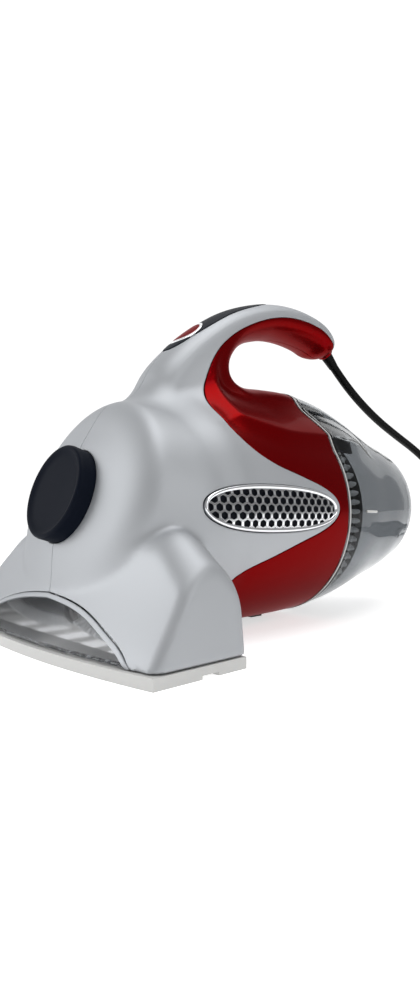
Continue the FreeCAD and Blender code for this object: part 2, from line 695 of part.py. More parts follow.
def impeller():
    """A back plate with a hub and a polar pattern of straight blades."""
    body = doc.addObject("PartDesign::Body", "impeller_form")
    disc = body_sketch(body, "XY_Plane", "fan_disc")
    disc.addGeometry(Part.Circle(Vector(0, 0, 0), Vector(0, 0, 1), number("fan_radius")), False)
    disc.addGeometry(Part.Circle(Vector(0, 0, 0), Vector(0, 0, 1), hub.value), False)
    for index, radius in ((0, size("fan_radius")), (1, hub)):
        disc.addConstraint(Sketcher.Constraint("Coincident", index, 3, -1, 1))
        place = disc.addConstraint(Sketcher.Constraint("Radius", index, radius.value))
        disc.setExpression("Constraints[%d]" % place, radius.formula)
    plate_pad = body.newObject("PartDesign::Pad", "fan_plate")
    plate_pad.Profile = disc
    plate_pad.Length = 1.6
    boss_sketch = body_sketch(body, "XY_Plane", "fan_hub_sketch")
    for index, radius in ((0, 6.0), (1, hub.value)):
        boss_sketch.addGeometry(Part.Circle(Vector(0, 0, 0), Vector(0, 0, 1), radius), False)
        boss_sketch.addConstraint(Sketcher.Constraint("Coincident", index, 3, -1, 1))
        boss_sketch.addConstraint(Sketcher.Constraint("Radius", index, radius))
    hub_pad = body.newObject("PartDesign::Pad", "fan_hub")
    hub_pad.Profile = boss_sketch
    hub_pad.Length = 9.0
    blade_sketch = body_sketch(body, "XY_Plane", "fan_blade_sketch")
    outline(blade_sketch, [(5.5, 0), (size("fan_radius") - 0.5, 4.0), (size("fan_radius") - 0.6, 5.4), (5.3, 1.4)])
    blade = body.newObject("PartDesign::Pad", "fan_blade")
    blade.Profile = blade_sketch
    blade.Length = 9.0
    doc.recompute()
    pattern = body.newObject("PartDesign::PolarPattern", "fan_blades")
    pattern.Originals = [blade]
    pattern.Axis = (role_of(body, "Z_Axis"), [""])
    pattern.Angle = 360.0
    pattern.Occurrences = 9
    body.Tip = pattern
    return put(body, 0, station(149.0), centre, ALONG_Y)


keep(impeller(), "impeller")
fan_outer = size("fan_radius") + 4.5
fan_wall = ring("fan_wall", fan_outer, fan_outer - 1.8, 18.0, 0, station(146.0), centre)
fan_rear = ring("fan_rear", fan_outer - 0.5, "inlet_radius", 2.0, 0, station(162.0), centre)
fan_front = ring("fan_front", fan_outer - 0.5, 27.0, 1.8, 0, station(146.0), centre)
keep(fuse("fan_case", fan_wall, fan_rear, fan_front), "fan_housing")

duct_width = 2 * DUCT_HALF
duct_out = block("duct_outside", duct_width, 102.0, DUCT_HIGH - DUCT_LOW, -DUCT_HALF, station(66.5), DUCT_LOW)
duct_in = block("duct_inside", duct_width - 3.0, 110.0, DUCT_HIGH - DUCT_LOW - 3.0, -DUCT_HALF + 1.5, station(60.0), DUCT_LOW + 1.5)
keep(cut("duct_form", duct_out, duct_in), "dirt_duct")
wall_front = slab(64.0, 66.4, -20.0, 125.0).common(body_form(WALL + 0.15))
wall_front = wall_front.cut([rod(4.0, at(0, 60, AXLE), Y_AXIS, 10.0),
                             slab(60.0, 70.0, DUCT_LOW + 1.5, DUCT_HIGH - 1.5, DUCT_HALF - 1.5)])
keep(solid("front_wall_form", wall_front), "motor_bulkhead")
disc_full = ring("filter_wall_disc", 60.2, "inlet_radius", 3.0, 0, station(168.6), centre)
disc_slot = block("filter_wall_slot", duct_width - 3.0, 20.0, DUCT_HIGH - DUCT_LOW - 3.0, -DUCT_HALF + 1.5, station(160.0), DUCT_LOW + 1.5)
keep(cut("filter_wall", disc_full, disc_slot), "filter_bulkhead")

# ------------------------------------------------------------------ filter and dust cup
sleeve_on_axis("cup_gasket", 62.4, 58.0, 182.2, 2.4)
stub_tube = ring("frame_stub", 40.0, 37.0, 12.0, 0, station(171.8), centre)
flange = ring("frame_flange", "filter_radius", 37.0, 3.0, 0, station(183.8), centre)
keep(fuse("frame_form", stub_tube, flange), "filter_frame")


def pleat_ring():
    """The pleated paper: a zigzag wall between two radii."""
    count = int(number("pleats"))
    high, low = number("filter_radius") - 0.8, number("filter_radius") - 8.0
    thick = 0.9

    def star(shift):
        points = []
        for i in range(2 * count):
            radius = (high if i % 2 == 0 else low) - shift
            turn = math.pi * i / count
            points.append(at(radius * math.sin(turn), 187.0, AXLE + radius * math.cos(turn)))
        return Part.Face(Part.makePolygon(points + points[:1]))

    length = Vector(0, number("filter_depth"), 0)
    return star(0.0).extrude(length).cut(star(thick).extrude(length))


keep(solid("pleat_form", pleat_ring()), "pleated_filter")
keep(cylinder("filter_end", "filter_radius", 3.0, 0, station(187.0) + "filter_depth", centre), "filter_cap")
LATCH_FRONT, LATCH_BACK, LATCH_HALF, LATCH_FOOT, SEAT_LEVEL = 196.0, 212.0, 10.0, 137.5, 129.5
cup_outer = cup_form(0.0).common(slab(SEAM + 0.4, 306.0))
latch_slot = slab(LATCH_FRONT - 0.4, LATCH_BACK + 0.4, 134.0, 160.0, LATCH_HALF + 0.4)
cup = cup_outer.cut(cup_form(number("cup_wall"))).cut(latch_slot)
seat = slab(LATCH_FRONT + 2, LATCH_BACK - 2, SEAT_LEVEL - 1.5, SEAT_LEVEL, 50.0).common(cup_form(0.6))
mark = slab(196.0, 214.0, AXLE - 0.8, AXLE + 0.8, 120.0).common(cup_form(0.0)).cut(cup_form(4.0)).common(half_space(1))
cup_solids = cup.fuse([seat, mark]).Solids
keep(solid("cup_shape", max(cup_solids, key=lambda piece: piece.Volume)), "dust_cup")
latch = slab(LATCH_FRONT, LATCH_BACK, LATCH_FOOT, 160.0, LATCH_HALF).common(cup_form(-0.8))
keep(solid("latch_form", latch), "cup_latch")
spring_foot = at(0, (LATCH_FRONT + LATCH_BACK) / 2, SEAT_LEVEL)
latch_coil = rod(3.4, spring_foot, Vector(0, 0, 1), LATCH_FOOT - SEAT_LEVEL)
latch_coil = latch_coil.cut(rod(2.6, spring_foot, Vector(0, 0, 1), LATCH_FOOT - SEAT_LEVEL))
keep(solid("latch_spring_form", latch_coil), "latch_spring")

# ------------------------------------------------------------------ vents on both sides
HOLE_PITCH, ROW_PITCH, HOLE_RADIUS = 7.0, 5.2, 2.6


def hexagon_prism(back, up, sign):
    corners = [at(sign * 40.0, back + HOLE_RADIUS * math.cos(math.radians(60 * i)),
                  up + HOLE_RADIUS * math.sin(math.radians(60 * i))) for i in range(7)]
    return Part.Face(Part.makePolygon(corners)).extrude(Vector(sign * 60.0, 0, 0))


def vent_holes(sign):
    """Staggered hexagonal holes inside the vent's oval."""
    holes = []
    for row in range(-1, 2):
        shift = 0.5 * (row % 2)
        for i in range(-6, 7):
            along, up = (i + shift) * HOLE_PITCH, row * ROW_PITCH
            if (along / 41.0) ** 2 + (up / 8.0) ** 2 < 1.0:
                holes.append(hexagon_prism(number("badge_station") + along, number("badge_height") + up, sign))
    return holes


trim, screen = barrel_skin(-0.9, 0.0), barrel_skin(WALL + 0.1, WALL + 1.0)
for side, sign in (("left", -1), ("right", 1)):
    oval_trim = long_oval(number("badge_half_length"), number("badge_half_height"), sign * 100.0, BADGE_CENTRE)
    grille = trim.common(oval_trim).cut(vent_holes(sign))
    keep(solid("grille_" + side, grille), "vent_grille_" + side)
    backing = screen.common(long_oval(43.9, 10.7, sign * 100.0, BADGE_CENTRE))
    keep(solid("screen_" + side, backing), "vent_screen_" + side)

# ------------------------------------------------------------------ wiring inside
CORD = number("cord_diameter") / 2


def wire_run(points, radius):
    """A round wire along straight runs with ball corners."""
    pieces = [rod(radius, a, (b - a).normalize(), b.distanceToPoint(a)) for a, b in zip(points, points[1:])]
    pieces += [Part.makeSphere(radius, point) for point in points[1:-1]]
    return pieces[0].fuse(pieces[1:])


inner_route = [GLAND + GLAND_AXIS * 2.0, GLAND - GLAND_AXIS * 13.5, at(0, 212.0, 204.6), at(0, 192.0, 204.6),
               at(0, 173.0, 201.2), at(0, 155.0, 194.8), at(0, 141.0, 186.0), at(0, 131.0, 177.0)]
keep(solid("inner_cord_form", wire_run(inner_route, CORD)), "inner_cord")
leads = []
for i, x in enumerate((-4.0, 4.0)):
    route = [at(x, 116.0, 157.0), at(x, 119.0, 135.0), at(2 * x, 120.0, 101.8)]
    leads.append(solid("lead_%d" % i, wire_run(route, 1.2)))
keep(group("lead_set", *leads), "motor_leads")

# ------------------------------------------------------------------ cord, coil and plug
gland_profile = [(CORD, 0), (4.9, 0), (4.9, 13.0), (6.2, 14.5), (6.2, 18.0), (4.4, 22.0), (CORD, 22.0)]
gland = turned("gland_form", gland_profile, 0, station(0), 0, Rotation(UP, GLAND_AXIS))
gland.setExpression("Placement.Base.y", None)
gland.setExpression("Placement.Base.z", None)
gland.Placement = Placement(GLAND - GLAND_AXIS * 13.0, Rotation(UP, GLAND_AXIS))
keep(gland, "cord_gland")

# x, station and height of the cord's corner points, from the gland to the coil on the floor
CORD_ROUTE = [
    (0.0, 242.6, 193.4), (0.0, 264.0, 177.3), (0.0, 290.0, 162.0), (0.0, 321.0, 148.6), (1.0, 354.0, 137.4),
    (2.0, 384.0, 128.0), (5.0, 410.0, 115.0), (8.0, 430.0, 95.0), (11.0, 443.0, 70.0), (14.0, 452.0, 45.0),
    (17.0, 463.0, 23.0), (20.0, 479.0, 9.0), (23.0, 499.0, 3.6), (25.0, 521.0, 3.3),
]


def cord_tube(route, radius):
    """Straight runs joined by tangent arcs, swept with a circle."""
    points = [at(*point) for point in route]
    edges = []
    here = points[0]
    length = 0.0
    for before, corner, after in zip(points, points[1:], points[2:]):
        come = (corner - before).normalize()
        leave = (after - corner).normalize()
        half_turn = come.getAngle(leave) / 2
        reach = 0.45 * min(corner.distanceToPoint(before), after.distanceToPoint(corner))
        bend = reach / math.tan(half_turn)
        print("cord bend radius %.1f mm" % bend)
        start, end = corner - come * reach, corner + leave * reach
        inward = (leave - come).normalize()
        middle = corner + inward * (bend / math.cos(half_turn) - bend)
        edges += [Part.LineSegment(here, start).toShape(), Part.Arc(start, middle, end).toShape()]
        length += here.distanceToPoint(start) + 2 * half_turn * bend
        here = end
    edges.append(Part.LineSegment(here, points[-1]).toShape())
    length += here.distanceToPoint(points[-1])
    path = Part.Wire(edges)
    first = Part.Wire([Part.makeCircle(radius, points[0], (points[1] - points[0]).normalize())])
    tube = path.makePipeShell([first], True, True)
    print("cord length %.1f mm, volume ratio %.4f" % (length, tube.Volume / (math.pi * radius ** 2 * length)))
    return tube


keep(solid("cord_form", cord_tube(CORD_ROUTE, CORD)), "power_cord")
across = number("cord_diameter")
coil_wide = number("coil_turns_wide") * across / 2
coil_x = CORD_ROUTE[-1][0] + number("coil_radius") + coil_wide - CORD
coil_outer = size("coil_radius") + size("coil_turns_wide") * size("cord_diameter") * 0.5
coil_inner = size("coil_radius") - size("coil_turns_wide") * size("cord_diameter") * 0.5
coil_tall = size("coil_turns_high") * size("cord_diameter")
keep(ring("coil_form", coil_outer, coil_inner, coil_tall, coil_x, station(CORD_ROUTE[-1][1]), 0, "z"), "cord_coil")

PLUG_LENGTH, PLUG_WIDTH, PLUG_THICK = 34.0, 24.0, 16.0
plug_x, plug_back = coil_x + 41.0, CORD_ROUTE[-1][1] - number("coil_radius") - 14.0
plug_box = Part.makeBox(PLUG_LENGTH, PLUG_WIDTH, PLUG_THICK, at(plug_x, plug_back - PLUG_WIDTH / 2, 0))
plug_box = plug_box.makeFillet(4.0, plug_box.Edges)
relief_start = at(coil_x, CORD_ROUTE[-1][1] - number("coil_radius") - coil_wide + CORD, CORD)
relief_end = at(plug_x + 2.0, plug_back, PLUG_THICK / 2)
relief_way = relief_end - relief_start
relief = Part.makeCone(CORD, 6.5, relief_way.Length, relief_start, relief_way)
keep(solid("plug_form", plug_box.fuse(relief)), "plug_body")
blades = [block("blade_%d" % i, 17.0, 1.5, 6.4, plug_x + PLUG_LENGTH, station(plug_back + y), PLUG_THICK / 2 - 3.2)
          for i, y in enumerate((-7.0, 5.5))]
keep(group("blade_set", *blades), "plug_blades")

# ------------------------------------------------------------------ checks and output
doc.recompute()
for obj in doc.Objects:
    if "Invalid" in obj.State or "Error" in obj.State:
        raise RuntimeError("failed object: " + obj.Label)
labels = [node.Label for node in nodes]
if len(set(labels)) != len(labels):
    raise RuntimeError("two nodes share a label")
for node in nodes:
    if node.Shape.isNull() or not node.Shape.isValid() or not node.Shape.Solids:
        raise RuntimeError("bad shape: " + node.Label)
    node.Shape.exportStep("parts/" + node.Label + ".step")
print(len(nodes), "nodes")
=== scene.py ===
import json
import math

import bpy
import numpy as np
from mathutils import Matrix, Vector


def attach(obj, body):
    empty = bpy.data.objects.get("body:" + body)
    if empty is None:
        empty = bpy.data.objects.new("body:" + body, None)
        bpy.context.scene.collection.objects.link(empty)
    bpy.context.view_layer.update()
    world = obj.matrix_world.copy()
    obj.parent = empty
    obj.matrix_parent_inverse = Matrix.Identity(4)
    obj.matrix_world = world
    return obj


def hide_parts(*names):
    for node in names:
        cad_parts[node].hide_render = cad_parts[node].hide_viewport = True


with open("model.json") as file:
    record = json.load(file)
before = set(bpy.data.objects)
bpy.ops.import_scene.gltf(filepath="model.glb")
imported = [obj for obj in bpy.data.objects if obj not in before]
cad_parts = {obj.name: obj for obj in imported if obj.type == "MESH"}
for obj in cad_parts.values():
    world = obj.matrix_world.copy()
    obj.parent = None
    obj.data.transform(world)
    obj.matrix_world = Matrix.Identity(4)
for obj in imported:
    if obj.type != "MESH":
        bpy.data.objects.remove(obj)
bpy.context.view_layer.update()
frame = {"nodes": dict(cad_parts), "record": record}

LIP = 153.0  # stations are counted back from the nozzle's lip, in mm; this one is the frame's origin
AXIS_HEIGHT = 67.5  # of the motor, the filter and the cup


def metres(points):
    """Points (across, station, up) in mm to the frame, in metres."""
    points = np.asarray(points, float)
    return (points - np.array([0.0, LIP, 0.0])) * 0.001


# ---------------------------------------------------------------- camera
TURN, TILT = math.radians(46.77), math.radians(-1.97)
camera = bpy.data.objects.new("camera", bpy.data.cameras.new("camera"))
bpy.context.scene.collection.objects.link(camera)
camera.location = (0.2566, -0.27078, 0.06245)
camera.rotation_euler = (math.radians(90.0) - TILT, 0.0, TURN)
camera.data.lens = 20.42
camera.data.sensor_width = 36.0
camera.data.clip_start = 0.01
camera.data.dof.use_dof = False
bpy.context.scene.camera = camera


# ---------------------------------------------------------------- materials
def material(name, colour, metallic=0.0, rough=0.4, **more):
    mat = bpy.data.materials.new(name)
    mat.use_nodes = True
    shader = mat.node_tree.nodes["Principled BSDF"]
    shader.inputs["Base Color"].default_value = (*colour, 1.0)
    shader.inputs["Metallic"].default_value = metallic
    shader.inputs["Roughness"].default_value = rough
    for key, value in more.items():
        shader.inputs[key.replace("_", " ")].default_value = value
    return mat


SLOTS = {
    "silver_shell": material("silver_shell", (0.43, 0.445, 0.465), 0.55, 0.5, IOR=1.25,
                             Specular_Tint=(0.4, 0.4, 0.41, 1.0)),
    "red_shell": material("red_shell", (0.17, 0.0003, 0.0022), 0.75, 0.27, IOR=1.15,
                          Specular_Tint=(0.5, 0.02, 0.04, 1.0), Coat_Weight=0.06, Coat_Roughness=0.05,
                          Coat_IOR=1.25),
    "cap_plastic": material("cap_plastic", (0.005, 0.007, 0.013), 0.0, 0.45, IOR=1.1),
    "dark_plastic": material("dark_plastic", (0.006, 0.007, 0.011), 0.0, 0.35, IOR=1.15),
    "pad_plastic": material("pad_plastic", (0.018, 0.021, 0.027), 0.0, 0.5, IOR=1.12),
    "plate_plastic": material("plate_plastic", (0.55, 0.55, 0.54), 0.0, 0.5),
    "clear_plastic": material("clear_plastic", (0.60, 0.615, 0.64), 0.0, 0.03, IOR=1.2,
                              Transmission_Weight=1.0),
    "chrome_trim": material("chrome_trim", (0.80, 0.81, 0.83), 1.0, 0.12),
    "steel": material("steel", (0.55, 0.55, 0.56), 1.0, 0.25),
    "copper": material("copper", (0.72, 0.30, 0.14), 1.0, 0.3),
    "core_steel": material("core_steel", (0.25, 0.26, 0.27), 1.0, 0.45),
    "case_steel": material("case_steel", (0.45, 0.46, 0.47), 1.0, 0.35),
    "rubber": material("rubber", (0.012, 0.012, 0.012), 0.0, 0.6),
    "paper": material("paper", (0.95, 0.95, 0.94), 0.0, 0.8),
    "bristle": material("bristle", (0.82, 0.83, 0.84), 0.0, 0.5),
    "roll_plastic": material("roll_plastic", (0.035, 0.04, 0.05), 0.0, 0.4),
    "fan_plastic": material("fan_plastic", (0.03, 0.03, 0.035), 0.0, 0.4),
    "carbon": material("carbon", (0.02, 0.02, 0.02), 0.0, 0.7),
    "cord_cover": material("cord_cover", (0.003, 0.003, 0.003), 0.0, 0.4, IOR=1.15),
}
# clear plastic with a darker tint as painted shade where it covers dark insides, and a hazier copy where it
# blurs the brush
PAINTED_SHADE_CLEAR = material("smoky_clear", (0.36, 0.375, 0.39), 0.0, 0.05, Transmission_Weight=1.0, IOR=1.12)
HAZY = material("hazy_clear", (0.74, 0.75, 0.77), 0.0, 0.14, Transmission_Weight=1.0, IOR=1.2)


# ---------------------------------------------------------------- mesh tools (points in mm, at stations)
def build(name, points, faces, slot, body="vacuum", replaces=(), sharp=40.0, finish=None):
    """A visible piece in its slot's material, or in another finish of it, moving with a body."""
    mesh = bpy.data.meshes.new(name)
    mesh.from_pydata(metres(points).tolist(), [], [list(map(int, f)) for f in faces])
    mesh.polygons.foreach_set("use_smooth", [True] * len(mesh.polygons))
    mesh.set_sharp_from_angle(angle=math.radians(sharp))
    mesh.materials.append(finish or SLOTS[slot])
    obj = bpy.data.objects.new(name, mesh)
    bpy.context.scene.collection.objects.link(obj)
    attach(obj, body)
    if replaces:
        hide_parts(*replaces)
    return obj


def join(parts):
    """Several (points, faces) as one."""
    points, faces, shift = [], [], 0
    for p, f in parts:
        points.append(np.asarray(p, float))
        faces += [tuple(int(i) + shift for i in face) for face in f]
        shift += len(p)
    return np.vstack(points), faces


def lathe(profile, origin, axis, steps=96):
    """Closed profile of (along, radius) turned about an axis."""
    axis = np.array(axis, float) / np.linalg.norm(axis)
    side = np.cross(axis, (0.0, 0.0, 1.0) if abs(axis[2]) < 0.9 else (1.0, 0.0, 0.0))
    side /= np.linalg.norm(side)
    up = np.cross(axis, side)
    n = len(profile)
    points = [np.array(origin) + axis * s + (side * math.cos(a) + up * math.sin(a)) * r
              for a in np.linspace(0, 2 * math.pi, steps, endpoint=False) for s, r in profile]
    faces = [(i * n + j, i * n + (j + 1) % n, (i + 1) % steps * n + (j + 1) % n, (i + 1) % steps * n + j)
             for i in range(steps) for j in range(n)]
    return np.array(points), faces


def prism(near, far):
    """Solid between two sections with the same number of corners."""
    n = len(near)
    sides = [(k, (k + 1) % n, (k + 1) % n + n, k + n) for k in range(n)]
    return np.array([*near, *far], float), [tuple(range(n))[::-1], tuple(range(n, 2 * n))] + sides


# ---------------------------------------------------------------- the body as a distance field
def natural(table):
    """Smooth curve through a table of (place, value), as a function."""
    x, y = np.array(table, float).T
    h = np.diff(x)
    n = len(x)
    a = np.zeros((n, n))
    b = np.zeros(n)
    a[0, 0] = a[-1, -1] = 1.0
    for i in range(1, n - 1):
        a[i, i - 1], a[i, i], a[i, i + 1] = h[i - 1], 2 * (h[i - 1] + h[i]), h[i]
        b[i] = 6 * ((y[i + 1] - y[i]) / h[i] - (y[i] - y[i - 1]) / h[i - 1])
    m = np.linalg.solve(a, b)

    def value(s):
        s = np.clip(s, x[0], x[-1])
        i = np.clip(np.searchsorted(x, s) - 1, 0, n - 2)
        u, v = x[i + 1] - s, s - x[i]
        return (m[i] * u ** 3 + m[i + 1] * v ** 3) / (6 * h[i]) + (y[i] / h[i] - m[i] * h[i] / 6) * u + (
            y[i + 1] / h[i] - m[i + 1] * h[i] / 6) * v

    return value


def smooth_line(points, n=10):
    """Catmull-Rom line through points."""
    p = np.array(points, float)
    p = np.vstack([2 * p[0] - p[1], p, 2 * p[-1] - p[-2]])
    t = np.linspace(0, 1, n, endpoint=False)[:, None]
    out = []
    for a, b, c, d in zip(p, p[1:], p[2:], p[3:]):
        out.append(0.5 * (2 * b + (c - a) * t + (2 * a - 5 * b + 4 * c - d) * t ** 2
                          + (3 * b - a - 3 * c + d) * t ** 3))
    return np.vstack(out + [p[-2:-1]])


def inside(y, z, outline):
    """Distance from a closed outline, positive inside."""
    best = np.full(np.broadcast(y, z).shape, 1e18)
    within = np.zeros(best.shape, bool)
    for (ay, az), (by, bz) in zip(outline, np.roll(outline, -1, axis=0)):
        ey, ez = by - ay, bz - az
        t = np.clip(((y - ay) * ey + (z - az) * ez) / max(ey * ey + ez * ez, 1e-12), 0, 1)
        best = np.minimum(best, (y - ay - t * ey) ** 2 + (z - az - t * ez) ** 2)
        if az != bz:
            within ^= ((az > z) != (bz > z)) & (y < ey * (z - az) / ez + ay)
    return np.where(within, 1.0, -1.0) * np.sqrt(best)


def soft_min(a, b, k):
    """Union of two fields with a fillet of size k."""
    h = np.maximum(k - np.abs(a - b), 0) / k
    return np.minimum(a, b) - h * h * k * 0.25


def round_max(a, b, r):
    """Overlap of two fields with an outer edge of radius r."""
    return np.minimum(-r, np.maximum(a, b)) + np.hypot(np.maximum(r + a, 0), np.maximum(r + b, 0))


# handle, spine and the ridge over the cup, as one side outline of (station, height)
HANDLE = [
    (61.6, 123.1), (69.3, 136.1), (75.9, 147.7), (84.8, 158.2), (99, 171.4), (115, 183.6), (132, 194.3),
    (151, 202.8), (171, 209.1), (192, 212.3), (212.1, 212.1), (227.5, 209.3), (237.8, 203.3), (242.8, 194.7),
    (240.5, 186.5), (230, 184.6), (219.2, 186.9), (205, 188.2), (190, 188), (175.4, 186.1), (163.1, 182.7),
    (151.9, 178.4), (142.3, 172.6), (135.3, 165.6), (131.0, 157), (133.5, 149), (143, 146.2), (159.9, 147.7),
    (180, 149.1), (200.1, 147.7), (219.8, 143.6), (238.2, 134.8), (245.5, 123.5),
]
HANDLE_OUTLINE = np.vstack([smooth_line(HANDLE), [(250, 90), (200, 80), (100, 80), (60, 95)]])
GRIP_HALF, GRIP_ROUND = 17.0, 11.0
PORT, NOSE_UP = (16.5, 76.8), math.radians(16.6)
DOME = natural([(8, 26.9), (10, 32.5), (13, 43.5), (17, 53), (24, 58.2), (34, 61.2), (46, 64.5), (58, 65.2),
                (70, 62.3), (85, 55)])
BARREL_AT, BARREL_TILT = (176.0, 68.63), math.radians(2.5)
BARREL = natural([(-130, 58.5), (-110, 62.1), (-90, 64.7), (-60, 66.7), (-20, 67.4), (14, 66.2), (37, 63.3),
                  (61, 58.6), (88, 53.6), (110, 48.5), (128, 45.4)])
BARREL_END, BARREL_END_ROUND = 129.84, 22.0
NOZZLE_FRONT = natural([(-8, -0.5), (0, 0), (5, 1.5), (16, 8.2), (27, 15.5), (38, 21.5), (50, 26.5), (60, 31),
                        (80, 41)])
NOZZLE_HALF, NOZZLE_BACK, SIDE_SLOPE = 92.0, 60.0, 0.10
SHOULDER_TOP, SHOULDER_DROP = 60, 16.5
BOW = 0.00104  # how fast the lip bends back towards its ends
PLATE = 5.0  # top of the base plate


def handle_field(x, y, z):
    q = inside(y, z, HANDLE_OUTLINE)
    width = GRIP_HALF + 0.85 * np.logaddexp(0, (q - 19) / 4.0) * 4.0
    edge = np.maximum(GRIP_ROUND - q, 0) / GRIP_ROUND
    return (np.sqrt(edge * edge + (x / width) ** 2) - 1) * GRIP_ROUND


def port_place(x, y, z):
    """Distance along the hose port's axis and radius from it."""
    dy, dz = y - PORT[0], z - PORT[1]
    along = dy * math.cos(NOSE_UP) - dz * math.sin(NOSE_UP)
    return along, np.sqrt(x * x + (dy * math.sin(NOSE_UP) + dz * math.cos(NOSE_UP)) ** 2)


def dome_field(x, y, z):
    s, r = port_place(x, y, z)
    d = round_max((r - DOME(s)) * 0.8, 8.5 - s, 2.5)
    return round_max(round_max(d, s - 84, 8.0), 13 - z, 9.0)


def barrel_field(x, y, z):
    dy, dz = y - BARREL_AT[0], z - BARREL_AT[1]
    s = dy * math.cos(BARREL_TILT) + dz * math.sin(BARREL_TILT)
    r = np.sqrt(x * x + (dz * math.cos(BARREL_TILT) - dy * math.sin(BARREL_TILT)) ** 2)
    d = round_max((r - BARREL(s)) * 0.95, s - BARREL_END, BARREL_END_ROUND)
    return round_max(d, -(s + 105), 20.0)


def shoulder(x):
    """Height of the nozzle's top, which falls towards its ends."""
    t = np.clip((np.abs(x) - 62) / 31, 0, 1)
    return SHOULDER_TOP - SHOULDER_DROP * t * t * (3 - 2 * t)


def nozzle_field(x, y, z):
    front = (NOZZLE_FRONT(z) + BOW * x * x - y) * 0.85
    d = round_max(front, z - shoulder(x), 14.0)
    d = round_max(d, y - NOZZLE_BACK, 22.0)
    d = round_max(d, (np.abs(x) + SIDE_SLOPE * z - NOZZLE_HALF) * 0.995, 4.0)
    return np.maximum(d, PLATE - z)


def body_field(x, y, z):
    d = soft_min(dome_field(x, y, z), barrel_field(x, y, z), 10)
    back = np.clip((y - 95.0) / 40.0, 0, 1)
    d = soft_min(d, handle_field(x, y, z), 11.0 + 11.0 * back * back * (3 - 2 * back))
    return soft_min(d, nozzle_field(x, y, z), 4.5)


def surface(field, low, high, step):
    """Closed surface of a field that is the same on both sides of x = 0, as (points, triangles)."""
    x, y, z = [np.arange(a, b + step, step) for a, b in zip((0.0, *low[1:]), high)]
    value = field(x[:, None, None], y[None, :, None], z[None, None, :])
    value = np.concatenate([value[:0:-1], value])
    origin = np.array([-x[-1], y[0], z[0]])
    sign = value < 0
    nx, ny, nz = value.shape
    offsets = [(i, j, k) for i in (0, 1) for j in (0, 1) for k in (0, 1)]
    count = sum(sign[i:nx - 1 + i, j:ny - 1 + j, k:nz - 1 + k].astype(np.int8) for i, j, k in offsets)
    active = (count > 0) & (count < 8)
    index = np.full(active.shape, -1)
    index[active] = np.arange(active.sum())
    cells = np.argwhere(active)
    total, hits = np.zeros((len(cells), 3)), np.zeros(len(cells))
    for axis in range(3):
        unit = np.eye(3, dtype=int)[axis]
        for off in offsets:
            if off[axis]:
                continue
            a = cells + off
            b = a + unit
            va, vb = value[tuple(a.T)], value[tuple(b.T)]
            cross = (va < 0) != (vb < 0)
            t = va[cross] / (va[cross] - vb[cross])
            total[cross] += a[cross] + t[:, None] * unit
            hits[cross] += 1
    points = origin + step * total / hits[:, None]
    faces = []
    for axis in range(3):
        u, w = [(1, 2), (2, 0), (0, 1)][axis]
        first = [slice(1, None)] * 3
        first[axis] = slice(None, -1)
        second = list(first)
        second[axis] = slice(1, None)
        a, b = sign[tuple(first)], sign[tuple(second)]
        place = np.argwhere(a != b)
        goes_out = a[tuple(place.T)]
        shift = np.ones(3, int)
        shift[axis] = 0
        place = place + shift
        eu, ew = np.eye(3, dtype=int)[u], np.eye(3, dtype=int)[w]
        good = (place < np.array(index.shape)).all(1)
        place, goes_out = place[good], goes_out[good]
        quad = np.stack([index[tuple((place + o).T)] for o in (0 * eu, -eu, -eu - ew, -ew)], 1)
        quad[~goes_out] = quad[~goes_out][:, ::-1]
        faces.append(quad)
    quads = np.vstack(faces)
    quads = quads[(quads >= 0).all(1)]
    return points, np.vstack([quads[:, [0, 1, 2]], quads[:, [0, 2, 3]]])


def normals_of(points, faces):
    a, b, c = points[faces[:, 0]], points[faces[:, 1]], points[faces[:, 2]]
    flat = np.cross(b - a, c - a)
    total = np.zeros(points.shape)
    for k in range(3):
        np.add.at(total, faces[:, k], flat)
    return total / np.maximum(np.linalg.norm(total, axis=1, keepdims=True), 1e-12)


def relaxed(points, faces, rounds):
    """Evens out the last ripples of the field."""
    pairs = np.vstack([faces[:, [0, 1]], faces[:, [1, 2]], faces[:, [2, 0]]])
    for _ in range(rounds):
        total, count = np.zeros(points.shape), np.zeros(len(points))
        np.add.at(total, pairs[:, 0], points[pairs[:, 1]])
        np.add.at(count, pairs[:, 0], 1)
        points = points + 0.5 * (total / count[:, None] - points)
    return points


def clip(skin, value):
    """The part of a skin (rows of point and normal, triangles) where a value per row is above zero."""
    rows, faces = skin
    good = value > 0
    n = good[faces].sum(1)
    size = len(rows)

    def turned_to(face, want):
        first = np.argmax(good[face] == want, axis=1)
        return face[np.arange(len(face))[:, None], (first[:, None] + np.arange(3)) % 3]

    one, two = turned_to(faces[n == 1], True), turned_to(faces[n == 2], False)
    cuts = np.vstack([one[:, [0, 1]], one[:, [0, 2]], two[:, [1, 0]], two[:, [2, 0]]])
    keys, back = np.unique(cuts[:, 0] * size + cuts[:, 1], return_inverse=True)
    back = back.reshape(-1)
    a, b = keys // size, keys % size
    t = (value[a] / (value[a] - value[b]))[:, None]
    rows = np.vstack([rows, rows[a] * (1 - t) + rows[b] * t])
    back = back + size
    m, k = len(one), len(two)
    ab, ac, ba, ca = back[:m], back[m:2 * m], back[2 * m:2 * m + k], back[2 * m + k:]
    faces = np.vstack([
        faces[n == 3], np.stack([one[:, 0], ab, ac], 1),
        np.stack([two[:, 1], two[:, 2], ca], 1), np.stack([two[:, 1], ca, ba], 1)])
    used, flat = np.unique(faces, return_inverse=True)
    return rows[used], flat.reshape(-1, 3)


def clipped(skin, *tests):
    for test in tests:
        skin = clip(skin, test(skin[0][:, 0], skin[0][:, 1], skin[0][:, 2]))
    return skin


